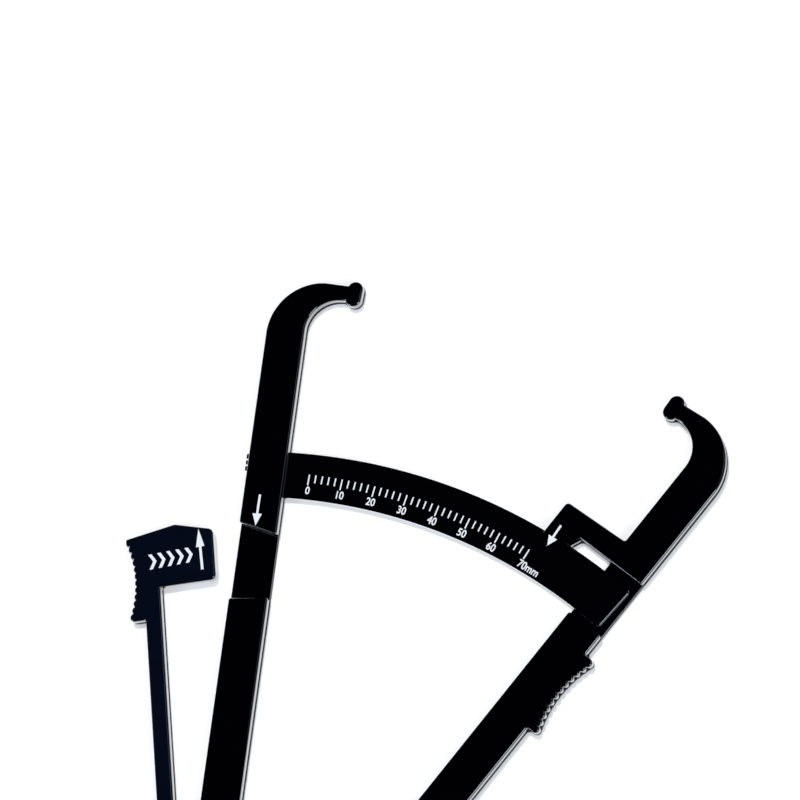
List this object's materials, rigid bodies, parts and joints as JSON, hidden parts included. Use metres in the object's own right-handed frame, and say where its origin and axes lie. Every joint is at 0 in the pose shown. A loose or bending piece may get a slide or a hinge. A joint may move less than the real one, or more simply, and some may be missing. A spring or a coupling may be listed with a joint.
{
  "type": "skinfold caliper",
  "caption": "Two long hooked arms hinged at one end, with an arc scale from one arm sliding under a pointer on the other and a springy thumb lever with a ribbed grip beside the scale arm.",
  "frame": {"origin": "the pivot's axis on the flat back face that the caliper lies on", "axes": "+Y from the pivot along the inner edge of the scale arm towards its jaw, +X from the scale arm towards the pointer arm, +Z out of the printed front face"},
  "size_m": [0.1313, 0.183, 0.0046],
  "materials": {
    "arm_plastic": "moulded black, polished face with soft edges",
    "bar_plastic": "moulded black, smooth face that takes the printed scale",
    "lever_plastic": "moulded blue-black, polished face",
    "pivot_steel": "plain turned steel"
  },
  "bodies": {
    "scale_side": {"left_arm": "arm_plastic", "scale_bar": "bar_plastic", "pivot_washer": "pivot_steel", "pivot_screw": "pivot_steel"},
    "pointer_side": {"right_arm": "arm_plastic"},
    "lever": {"thumb_lever": "lever_plastic"}
  },
  "joints": [
    {"name": "jaw_pivot", "type": "hinge", "parent": "scale_side", "child": "pointer_side", "pos_m": [0, 0, 0], "axis": [0, 0, 1], "range_deg": [-2, 24.83]},
    {"name": "lever_press", "type": "hinge", "parent": "scale_side", "child": "lever", "pos_m": [-0.0147, 0.0457, 0], "axis": [0, 0, -1], "range_deg": [0, 12], "stiffness_Nm_per_rad": 1.2}
  ]
}
